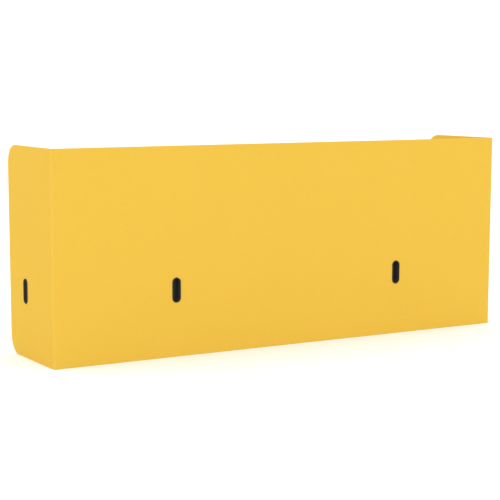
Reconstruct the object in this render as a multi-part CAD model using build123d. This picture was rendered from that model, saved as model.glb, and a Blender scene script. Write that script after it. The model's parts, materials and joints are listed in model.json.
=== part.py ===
from build123d import *
import os
from math import cos, radians, sin

# Crowd control barrier. One thick plastic sheet is folded to a U in plan: a long front wall and a short
# return at each end, open at the back. It is folded a little past square, so the returns lean in. Four alike
# hand-hold cups fill upright slots in it. Each is screwed on from inside the U, and its rim stands a little
# proud of the wall's outer face.
# Millimetres. +X runs along the front wall, -Y is the front, +Z is up.
# The origin is the middle of the footprint, on the ground. The footprint takes in the cups' rims.

# Folded wall
WIDTH = 2500.0            # over the outer faces, from corner to corner of the two bends
RETURN_LENGTH = 517.0     # along a return's outer face, from the corner of the bend to the free edge
LEAN = radians(1.75)      # how far each return leans in from square to the front wall
HEIGHT = 975.0
SHEET = 10.0              # thickness of the sheet
INNER_BEND_RADIUS = 1.0   # the sheet is grooved along the inside of its two bends, so they are tight
OUTER_BEND_RADIUS = INNER_BEND_RADIUS + SHEET
CORNER_RADIUS = 88.0      # top and bottom corners of each return's free edge
EDGE_ROUND = 1.5          # rounding all along the sheet's edges

# Slots
SLOT_WIDTH = 43.5
SLOT_LENGTH = 116.0
SLOT_HEIGHT = 312.0       # middle of every slot above the ground
FRONT_SLOT_X = 630.0      # middle of each front slot, either side of the wall's middle
RETURN_SLOT_SETBACK = 321.0  # middle of a return's slot, from the corner of the bend
SLOT_EDGE_ROUND = 1.0

# Hand-hold cup
CUP_PROUD = 4.0           # how far the rim stands out of the wall's outer face
CUP_CLEARANCE = 0.25      # all round, between the cup and the slot
CUP_SKIN = 3.0            # wall thickness of the moulding
CUP_DEPTH = 44.0          # from the wall's outer face to the back of the cup
CUP_DRAFT = 2.0           # degrees
CUP_RIM_ROUND = 1.4       # on both edges of the rim
CUP_BACK_ROUND = 9.0
FLANGE_MARGIN = 29.5      # from the slot's edge to the flange's edge, all round
FLANGE_THICKNESS = 4.0
FLANGE_CORNER = 18.0
FLANGE_EDGE_ROUND = 1.0
BOSS_RADIUS = 8.0
BOSS_HEIGHT = 1.5
RIB_THICKNESS = 3.0
RIB_REACH = 17.0          # along the flange, out from the cup's side
RIB_RISE = 20.0           # along the cup's side, up from the flange
RIB_ROOT = 2.5            # how far a rib runs into the cup's side
SIDE_RIB_SPACING = 36.0   # between the ribs along each long side

# Screws
SCREW_MARGIN = 14.5       # from the slot's edges, at its widest and its longest, to the screws
SCREW_RADIUS = 2.4
SCREW_CLEARANCE = 0.05    # between the shank and its blind hole in the sheet
SCREW_DEPTH = 6.5         # into the sheet
BLIND_HOLE_DEPTH = 7.0
FLANGE_HOLE_RADIUS = 2.75
HEAD_RADIUS = 4.8
HEAD_HEIGHT = 3.4
HEAD_ROUND = 2.0
SOCKET_RADIUS = 2.1       # over the corners of the hexagonal socket
SOCKET_DEPTH = 2.0

FRONT_Y = (CUP_PROUD - RETURN_LENGTH * cos(LEAN)) / 2
UP = Vector(0, 0, 1)
TOLERANCE = 0.01          # within which two lengths or two places are the same


def return_point(side, along):
    """A point on a return's outer face in plan, this far from the bend. Side -1 is the left, 1 the right."""
    return side * (WIDTH / 2 - along * sin(LEAN)), FRONT_Y + along * cos(LEAN)


def slot_place(x, y, inward):
    """The plane of one slot: on the wall's outer face, local Z into the U and local Y up."""
    return Plane(origin=(x, y, SLOT_HEIGHT), x_dir=UP.cross(Vector(inward)), z_dir=inward)


SLOT_PLACES = {
    "front_left": slot_place(-FRONT_SLOT_X, FRONT_Y, (0, 1, 0)),
    "front_right": slot_place(FRONT_SLOT_X, FRONT_Y, (0, 1, 0)),
    "left_return": slot_place(*return_point(-1, RETURN_SLOT_SETBACK), (cos(LEAN), -sin(LEAN), 0)),
    "right_return": slot_place(*return_point(1, RETURN_SLOT_SETBACK), (-cos(LEAN), -sin(LEAN), 0)),
}


def slot_outline(inset):
    """The slot's outline, upright, moved in by the inset all round."""
    return SlotOverall(SLOT_LENGTH - 2 * inset, SLOT_WIDTH - 2 * inset, rotation=90)


def screw_points():
    """The four screws' places around a slot, in its plane."""
    return GridLocations(SLOT_WIDTH + 2 * SCREW_MARGIN, SLOT_LENGTH + 2 * SCREW_MARGIN, 2, 2)


def edges_across(sheet):
    """The edges that run straight through the sheet's thickness."""
    return sheet.edges().filter_by(lambda edge: abs(edge.length - SHEET) < TOLERANCE)


def bent_sheet():
    """The U in plan, drawn up to the full height, with the returns' free corners rounded."""
    outer_line = FilletPolyline(
        return_point(-1, RETURN_LENGTH),
        return_point(-1, 0),
        return_point(1, 0),
        return_point(1, RETURN_LENGTH),
        radius=OUTER_BEND_RADIUS,
    )
    plan = make_face(offset(outer_line, SHEET, side=Side.LEFT))
    sheet = extrude(plan, HEIGHT, dir=(0, 0, 1))
    return fillet(edges_across(sheet), CORNER_RADIUS)


def round_sheet_edges(sheet):
    """Round the edges, but not the seams where flat and round faces run into each other."""
    bend_seams = sheet.edges().filter_by(lambda edge: abs(edge.length - HEIGHT) < TOLERANCE)
    return fillet(sheet.edges() - edges_across(sheet) - bend_seams, EDGE_ROUND)


def cut_slot(sheet, place):
    """Cut one slot, round its outer edge, and sink the blind screw holes around it from inside."""
    cut = sheet - place * extrude(slot_outline(0), SHEET)
    face_edges = cut.edges().filter_by_position(Axis(place.origin, place.z_dir), -TOLERANCE, TOLERANCE)
    rim = face_edges.filter_by(lambda edge: (edge.center() - place.origin).length < SLOT_LENGTH)
    cut = fillet(rim, SLOT_EDGE_ROUND)
    hole = Cylinder(SCREW_RADIUS + SCREW_CLEARANCE, BLIND_HOLE_DEPTH)
    for point in screw_points():
        cut -= place * (point * Pos(0, 0, SHEET - BLIND_HOLE_DEPTH / 2) * hole)
    return cut


def folded_wall():
    wall = round_sheet_edges(bent_sheet())
    for place in SLOT_PLACES.values():
        wall = cut_slot(wall, place)
    return wall


def side_rib(distance, angle, along):
    """A gusset between the flange and the cup's side, which is this far from the middle at this angle."""
    foot = SHEET + FLANGE_THICKNESS
    profile = Polyline(
        (distance - RIB_ROOT, foot),
        (distance + RIB_REACH, foot),
        (distance - RIB_ROOT, foot + RIB_RISE),
        close=True,
    )
    rib = extrude(Plane.XZ * make_face(profile), RIB_THICKNESS / 2, both=True)
    shift = Pos(-along * sin(radians(angle)), along * cos(radians(angle)), 0)
    return shift * Rot(0, 0, angle) * rib


def ribs():
    """Two gussets along each long side and one at each end."""
    side = SLOT_WIDTH / 2 - CUP_CLEARANCE
    end = SLOT_LENGTH / 2 - CUP_CLEARANCE
    gussets = [side_rib(end, angle, 0) for angle in (90, 270)]
    for along in (-SIDE_RIB_SPACING / 2, SIDE_RIB_SPACING / 2):
        gussets += [side_rib(side, angle, along) for angle in (0, 180)]
    return gussets


def flange():
    """The plate that lies against the wall's inner face, with a raised boss for each screw."""
    outline = RectangleRounded(SLOT_WIDTH + 2 * FLANGE_MARGIN, SLOT_LENGTH + 2 * FLANGE_MARGIN, FLANGE_CORNER)
    plate = Pos(0, 0, SHEET) * extrude(outline, FLANGE_THICKNESS)
    plate = fillet(plate.edges().group_by(Axis.Z)[-1], FLANGE_EDGE_ROUND)
    boss_length = FLANGE_THICKNESS + BOSS_HEIGHT
    boss = Pos(0, 0, SHEET + boss_length / 2) * Cylinder(BOSS_RADIUS, boss_length)
    for point in screw_points():
        plate += point * boss
    return plate


def hand_hold():
    """A blind cup: its neck fills the slot and stands proud of it, and its flange is inside the wall."""
    neck = Pos(0, 0, -CUP_PROUD) * extrude(slot_outline(CUP_CLEARANCE), CUP_PROUD + SHEET)
    body = Pos(0, 0, SHEET) * extrude(slot_outline(CUP_CLEARANCE), CUP_DEPTH - SHEET, taper=CUP_DRAFT)
    body = fillet(body.edges().group_by(Axis.Z)[-1], CUP_BACK_ROUND)
    cup = neck + body + flange()
    for gusset in ribs():
        cup += gusset
    mouth = Pos(0, 0, -CUP_PROUD) * slot_outline(CUP_CLEARANCE + CUP_SKIN)
    pocket = extrude(mouth, CUP_PROUD + CUP_DEPTH - CUP_SKIN, taper=CUP_DRAFT)
    cup -= fillet(pocket.edges().group_by(Axis.Z)[-1], CUP_BACK_ROUND - CUP_SKIN)
    cup = fillet(cup.edges().group_by(Axis.Z)[0], CUP_RIM_ROUND)
    hole = Pos(0, 0, SHEET) * Cylinder(FLANGE_HOLE_RADIUS, 4 * FLANGE_THICKNESS)
    for point in screw_points():
        cup -= point * hole
    return cup


def screw():
    """A domed screw with a hexagonal socket. Its head sits on the boss and its shank runs towards -Z."""
    seat = SHEET + FLANGE_THICKNESS + BOSS_HEIGHT
    shank_length = seat - SHEET + SCREW_DEPTH
    head = Pos(0, 0, seat + HEAD_HEIGHT / 2) * Cylinder(HEAD_RADIUS, HEAD_HEIGHT)
    head = fillet(head.edges().group_by(Axis.Z)[-1], HEAD_ROUND)
    shank = Pos(0, 0, seat - shank_length / 2) * Cylinder(SCREW_RADIUS, shank_length)
    shank = chamfer(shank.edges().group_by(Axis.Z)[0], SCREW_RADIUS / 2)
    socket = extrude(RegularPolygon(SOCKET_RADIUS, 6), SOCKET_DEPTH)
    return head + shank - Pos(0, 0, seat + HEAD_HEIGHT - SOCKET_DEPTH) * socket


os.makedirs("parts", exist_ok=True)
export_step(folded_wall(), "parts/folded_wall.step")
cup = hand_hold()
one_screw = screw()
for name, place in SLOT_PLACES.items():
    export_step(place.location * cup, f"parts/{name}_hand_hold.step")
    screws = [place.location * (point * one_screw) for point in screw_points()]
    export_step(Compound(children=screws), f"parts/{name}_screws.step")
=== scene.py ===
import json
from math import cos, radians, sin

import bpy
from mathutils import Matrix, Vector


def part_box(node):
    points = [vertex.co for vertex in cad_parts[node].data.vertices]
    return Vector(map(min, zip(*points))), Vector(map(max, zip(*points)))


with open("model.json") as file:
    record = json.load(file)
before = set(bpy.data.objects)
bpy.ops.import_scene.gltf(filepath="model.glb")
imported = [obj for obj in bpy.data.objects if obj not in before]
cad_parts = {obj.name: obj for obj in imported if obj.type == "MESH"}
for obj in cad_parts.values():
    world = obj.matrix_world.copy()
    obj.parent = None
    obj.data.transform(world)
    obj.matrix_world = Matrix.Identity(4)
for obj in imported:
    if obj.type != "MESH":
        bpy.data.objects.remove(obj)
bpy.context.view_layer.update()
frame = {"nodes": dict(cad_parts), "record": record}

# Looks for the crowd control barrier. Metres, in the CAD frame.
# +X runs along the front wall, -Y is the front, +Z is up.

# The folded wall, without the rims of the hand-holds, which stand out of it.
LOW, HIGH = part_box("folded_wall")
LENGTH = HIGH.x - LOW.x
HEIGHT = HIGH.z - LOW.z
MM = 0.001

# Camera. Distances are in wall heights, so that they follow the frame.
CAMERA_AZIMUTH = radians(31.58)      # round from straight in front, towards the left return
CAMERA_ELEVATION = radians(8.36)
CAMERA_ROLL = radians(0.10)
CAMERA_DISTANCE = 7.278 * HEIGHT     # from the middle of the view, on the front face
CAMERA_LENS = 107.50                 # mm, on a 36 mm wide sensor
CAMERA_SHIFT_UP = 0.0927             # of the frame's width: the lens is shifted up as well as tilted down
AIM_ACROSS = -0.2385 * HEIGHT        # from the middle of the wall
AIM_UP = 0.2593 * HEIGHT             # above the ground

# Lights
SKY_STRENGTH = 1.02
LIGHT_WIDTH = radians(70)            # how wide each lamp looks from the object

# Texture sizes
PEBBLE = 1.4 * MM                    # grain pressed into the yellow sheet
SPARK_GRAIN = 0.7 * MM               # texture of the black mouldings
SCUFF_WIDTH = 1.6 * MM
SCUFF_STRETCH = 45                   # how much longer than wide the scuffs are
DUST_HEIGHT = 0.10                   # how far up from the ground the dust reaches
SHEET_WEAR = 3 * MM                  # how far the worn, paler band reaches from an edge
MOULDING_WEAR = 1.0 * MM


# ---------------------------------------------------------------- node helpers

class Shader:
    """One material's node tree, with short calls for the nodes used here."""

    def __init__(self, name):
        self.material = bpy.data.materials.new(name)
        self.material.use_nodes = True
        self.tree = self.material.node_tree
        self.tree.nodes.clear()
        self.output = self.tree.nodes.new("ShaderNodeOutputMaterial")
        self.surface = self.tree.nodes.new("ShaderNodeBsdfPrincipled")
        self.link(self.surface.outputs["BSDF"], self.output.inputs["Surface"])
        self.place = self.tree.nodes.new("ShaderNodeTexCoord").outputs["Object"]
        self.geometry = self.tree.nodes.new("ShaderNodeNewGeometry")

    def link(self, source, target):
        self.tree.links.new(source, target)

    def feed(self, socket, value):
        """Set an input to a number or a colour, or link it if the value is another node's output."""
        if isinstance(value, bpy.types.NodeSocket):
            self.link(value, socket)
        else:
            socket.default_value = value

    def noise(self, size, detail=2.0, stretch=(1, 1, 1), roughness=0.5):
        """Noise with features about this many metres across, from 0 to 1."""
        mapping = self.tree.nodes.new("ShaderNodeMapping")
        mapping.inputs["Scale"].default_value = [1 / factor for factor in stretch]
        self.link(self.place, mapping.inputs["Vector"])
        noise = self.tree.nodes.new("ShaderNodeTexNoise")
        self.link(mapping.outputs["Vector"], noise.inputs["Vector"])
        noise.inputs["Scale"].default_value = 1 / size
        noise.inputs["Detail"].default_value = detail
        noise.inputs["Roughness"].default_value = roughness
        return noise.outputs["Fac"]

    def cells(self, size):
        """Rounded cells about this many metres across."""
        cells = self.tree.nodes.new("ShaderNodeTexVoronoi")
        cells.feature = "SMOOTH_F1"
        self.link(self.place, cells.inputs["Vector"])
        cells.inputs["Scale"].default_value = 1 / size
        return cells.outputs["Distance"]

    def remap(self, value, low, high, to_low=0.0, to_high=1.0):
        """Stretch low..high to to_low..to_high, clamped and eased."""
        remap = self.tree.nodes.new("ShaderNodeMapRange")
        remap.interpolation_type = "SMOOTHSTEP"
        self.feed(remap.inputs["Value"], value)
        remap.inputs["From Min"].default_value = low
        remap.inputs["From Max"].default_value = high
        remap.inputs["To Min"].default_value = to_low
        remap.inputs["To Max"].default_value = to_high
        return remap.outputs["Result"]

    def math(self, operation, first, second=0.0):
        node = self.tree.nodes.new("ShaderNodeMath")
        node.operation = operation
        self.feed(node.inputs[0], first)
        self.feed(node.inputs[1], second)
        return node.outputs[0]

    def mix(self, amount, first, second):
        """Mix two colours."""
        node = self.tree.nodes.new("ShaderNodeMix")
        node.data_type = "RGBA"
        self.feed(node.inputs["Factor"], amount)
        self.feed(node.inputs["A"], first)
        self.feed(node.inputs["B"], second)
        return node.outputs["Result"]

    def axis(self, letter):
        """One coordinate of the place in the frame, in metres."""
        split = self.tree.nodes.new("ShaderNodeSeparateXYZ")
        self.link(self.place, split.inputs["Vector"])
        return split.outputs[letter]

    def edges(self, radius):
        """1 on an outside or inside edge, 0 on flat stretches, reaching this many metres from the edge."""
        bevel = self.tree.nodes.new("ShaderNodeBevel")
        bevel.samples = 6
        bevel.inputs["Radius"].default_value = radius
        dot = self.tree.nodes.new("ShaderNodeVectorMath")
        dot.operation = "DOT_PRODUCT"
        self.link(bevel.outputs["Normal"], dot.inputs[0])
        self.link(self.geometry.outputs["Normal"], dot.inputs[1])
        return self.remap(self.math("SUBTRACT", 1.0, dot.outputs["Value"]), 0.01, 0.25)

    def bump(self, *layers):
        """Stack bumps, each a (height, depth in metres) pair, and feed the surface's normal."""
        normal = None
        for height, depth in layers:
            bump = self.tree.nodes.new("ShaderNodeBump")
            bump.inputs["Strength"].default_value = 1.0
            bump.inputs["Distance"].default_value = depth
            self.link(height, bump.inputs["Height"])
            if normal:
                self.link(normal, bump.inputs["Normal"])
            normal = bump.outputs["Normal"]
        self.link(normal, self.surface.inputs["Normal"])


# ---------------------------------------------------------------- materials

def yellow_sheet():
    """Thick through-coloured plastic sheet with a fine pebbled grain, painted shade darkening the gaps
    between the pebbles, faint scuffs, and dust at the foot.
    """
    s = Shader("yellow_sheet")
    base = (0.655, 0.412, 0.0505, 1)
    pale = (0.687, 0.435, 0.0585, 1)
    # Painted shade for the gaps between the pebbles, not a colour of the plastic.
    painted_shade_between_pebbles = (0.47, 0.28, 0.028, 1)
    scuffed = (0.84, 0.62, 0.17, 1)
    dirt = (0.42, 0.33, 0.16, 1)
    worn = (0.86, 0.64, 0.20, 1)
    cloud = s.noise(0.35, detail=3)
    speckle = s.noise(6 * MM, detail=3)
    colour = s.mix(s.math("MULTIPLY", s.math("ADD", cloud, speckle), 0.5), base, pale)
    grain = s.cells(PEBBLE)
    # Painted shade: the colour darkens between the pebbles of the grain, where shade would fall.
    colour = s.mix(s.remap(grain, 0.40, 0.85, 0, 0.38), colour, painted_shade_between_pebbles)
    streak = s.remap(s.noise(SCUFF_WIDTH, detail=2, stretch=(SCUFF_STRETCH, SCUFF_STRETCH, 1)), 0.66, 0.74)
    scuff = s.math("MULTIPLY", streak, s.remap(s.noise(0.11, detail=3), 0.52, 0.66, 0, 0.30))
    colour = s.mix(scuff, colour, scuffed)
    near_ground = s.remap(s.axis("Z"), DUST_HEIGHT, 0.0)
    dust = s.math("MULTIPLY", near_ground, s.remap(s.noise(0.05, detail=5), 0.35, 0.75, 0, 0.05))
    colour = s.mix(dust, colour, dirt)
    wear = s.math("MULTIPLY", s.edges(SHEET_WEAR), s.remap(s.noise(0.02, detail=6), 0.4, 0.7, 0, 0.35))
    colour = s.mix(wear, colour, worn)
    s.feed(s.surface.inputs["Base Color"], colour)
    rough = s.remap(s.noise(0.08, detail=5), 0.3, 0.7, 0.46, 0.60)
    s.feed(s.surface.inputs["Roughness"], s.math("ADD", rough, s.math("MULTIPLY", wear, 0.25)))
    s.surface.inputs["Specular IOR Level"].default_value = 0.01
    waves = s.noise(0.25, detail=1)
    dimples = s.noise(9 * MM, detail=2)
    s.bump((waves, 1.2 * MM), (dimples, 0.08 * MM), (grain, 0.22 * MM))
    return s.material


def black_moulding():
    """Black moulded plastic with a fine spark-eroded texture, greyer along its edges."""
    s = Shader("black_moulding")
    speckle = s.noise(1.5 * MM, detail=3)
    colour = s.mix(speckle, (0.036, 0.036, 0.037, 1), (0.047, 0.047, 0.048, 1))
    wear = s.math("MULTIPLY", s.edges(MOULDING_WEAR), s.remap(s.noise(8 * MM, detail=5), 0.4, 0.7, 0.0, 0.5))
    colour = s.mix(wear, colour, (0.075, 0.075, 0.078, 1))
    s.feed(s.surface.inputs["Base Color"], colour)
    s.feed(s.surface.inputs["Roughness"], s.remap(s.noise(0.02, detail=4), 0.3, 0.7, 0.48, 0.62))
    s.surface.inputs["Specular IOR Level"].default_value = 0.05
    s.bump((s.noise(12 * MM, detail=1), 0.05 * MM), (s.cells(SPARK_GRAIN), 0.05 * MM))
    return s.material


def screw_steel():
    """Plain zinc-bright steel with a slightly cloudy coat and fine unevenness."""
    s = Shader("screw_steel")
    cloud = s.noise(3 * MM, detail=4)
    colour = s.mix(cloud, (0.50, 0.51, 0.52, 1), (0.66, 0.67, 0.68, 1))
    s.feed(s.surface.inputs["Base Color"], colour)
    s.surface.inputs["Metallic"].default_value = 1.0
    s.feed(s.surface.inputs["Roughness"], s.remap(s.noise(1.5 * MM, detail=4), 0.3, 0.7, 0.25, 0.42))
    s.bump((s.noise(0.5 * MM, detail=3), 0.02 * MM))
    return s.material


def pale_floor():
    """Plain matt studio floor, faintly uneven."""
    s = Shader("pale_floor")
    colour = s.mix(s.noise(0.4, detail=4), (0.93, 0.93, 0.93, 1), (0.95, 0.95, 0.95, 1))
    s.feed(s.surface.inputs["Base Color"], colour)
    s.surface.inputs["Roughness"].default_value = 0.9
    s.surface.inputs["Specular IOR Level"].default_value = 0.1
    s.bump((s.noise(3 * MM, detail=4), 0.05 * MM))
    return s.material


def dress_all():
    """Give every CAD node the material that the record names for it."""
    slots = {"yellow_sheet": yellow_sheet(), "black_moulding": black_moulding(), "screw_steel": screw_steel()}
    for entry in frame["record"]["subparts"]:
        mesh = frame["nodes"][entry["node"]].data
        mesh.materials.clear()
        mesh.materials.append(slots[entry["material_slot"]])


# ---------------------------------------------------------------- stage

def floor():
    size = 40 * HEIGHT
    mesh = bpy.data.meshes.new("floor")
    corners = [(-size, -size), (size, -size), (size, size), (-size, size)]
    mesh.from_pydata([(x, y, LOW.z) for x, y in corners], [], [(0, 1, 2, 3)])
    plane = bpy.data.objects.new("floor", mesh)
    bpy.context.scene.collection.objects.link(plane)
    mesh.materials.append(pale_floor())


def sky():
    world = bpy.data.worlds.new("studio")
    bpy.context.scene.world = world
    world.use_nodes = True
    background = world.node_tree.nodes["Background"]
    background.inputs["Color"].default_value = (1, 1, 1, 1)
    background.inputs["Strength"].default_value = SKY_STRENGTH


def soft_light(name, azimuth, elevation, strength):
    """A very wide, far light. Azimuth 0 is in front of the wall, and turns towards +X."""
    turn, tilt = radians(azimuth), radians(elevation)
    away = Vector((sin(turn) * cos(tilt), -cos(turn) * cos(tilt), sin(tilt)))
    light = bpy.data.lights.new(name, "SUN")
    light.angle = LIGHT_WIDTH
    light.energy = strength
    lamp = bpy.data.objects.new(name, light)
    lamp.location = (LOW + HIGH) / 2 + away * LENGTH
    lamp.rotation_mode = "QUATERNION"
    lamp.rotation_quaternion = (-away).to_track_quat("-Z", "Y")
    bpy.context.scene.collection.objects.link(lamp)


def lights():
    soft_light("key", -15, 35, 1.0)
    soft_light("left", -105, 30, 0.53)
    soft_light("back", 150, 45, 0.5)


def camera():
    lens = bpy.data.cameras.new("camera")
    lens.lens = CAMERA_LENS
    lens.shift_y = CAMERA_SHIFT_UP
    lens.clip_end = 100 * HEIGHT
    eye = bpy.data.objects.new("camera", lens)
    away = Vector((
        -sin(CAMERA_AZIMUTH) * cos(CAMERA_ELEVATION),
        -cos(CAMERA_AZIMUTH) * cos(CAMERA_ELEVATION),
        sin(CAMERA_ELEVATION),
    ))
    aim = Vector((AIM_ACROSS, LOW.y, AIM_UP))
    turn = (-away).to_track_quat("-Z", "Y").to_matrix().to_4x4()
    roll = Matrix.Rotation(CAMERA_ROLL, 4, "Z")
    eye.matrix_world = Matrix.Translation(aim + away * CAMERA_DISTANCE) @ turn @ roll
    bpy.context.scene.collection.objects.link(eye)
    bpy.context.scene.camera = eye


dress_all()
floor()
sky()
lights()
camera()
bpy.context.scene.view_settings.view_transform = "Standard"
